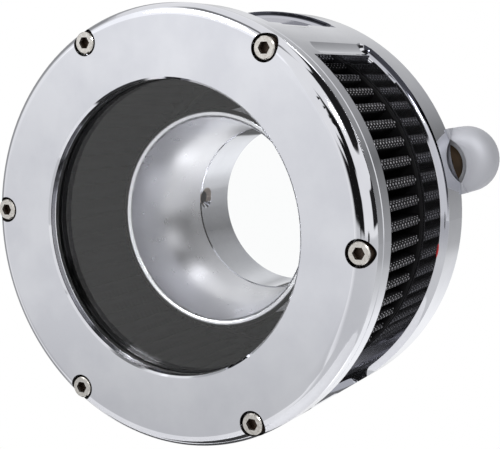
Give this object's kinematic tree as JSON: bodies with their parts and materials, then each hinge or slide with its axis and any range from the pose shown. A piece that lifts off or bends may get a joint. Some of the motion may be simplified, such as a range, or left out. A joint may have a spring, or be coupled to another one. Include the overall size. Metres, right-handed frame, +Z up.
{
  "type": "engine air cleaner",
  "caption": "Round see-through intake air cleaner: chromed drum with side windows, clear front lens in a screwed ring, pleated filter, velocity stack and rear breather standoffs.",
  "frame": {"origin": "centre of the throttle face at the back of the neck", "axes": "+Z up, +Y along the throat towards the engine, so the lens looks along -Y; the standoff seen in the picture is on the +X side"},
  "size_m": [0.1829, 0.0994, 0.16],
  "materials": {
    "chrome_billet": "bright polished plating over turned aluminium",
    "polished_stack": "polished",
    "clear_lens": "clear polished acrylic",
    "seal_rubber": "satin black",
    "stainless_screw": "polished stainless",
    "black_screw": "black oxide",
    "pleated_mesh": "black coated woven mesh over oiled cotton",
    "moulded_cap": "moulded, satin black"
  },
  "bodies": {
    "root": {"housing": "chrome_billet", "front_ring": "chrome_billet", "lens": "clear_lens", "lens_seal": "seal_rubber", "cover_screw_1": "stainless_screw", "cover_screw_2": "stainless_screw", "cover_screw_3": "stainless_screw", "cover_screw_4": "stainless_screw", "cover_screw_5": "stainless_screw", "cover_screw_6": "stainless_screw", "velocity_stack": "polished_stack", "stack_seal": "seal_rubber", "stack_screw_1": "black_screw", "stack_screw_2": "black_screw", "stack_screw_3": "black_screw", "filter_media": "pleated_mesh", "filter_front_cap": "moulded_cap", "filter_rear_cap": "moulded_cap", "throttle_seal": "seal_rubber", "breather_grommet_1": "seal_rubber", "breather_grommet_2": "seal_rubber"}
  },
  "joints": []
}
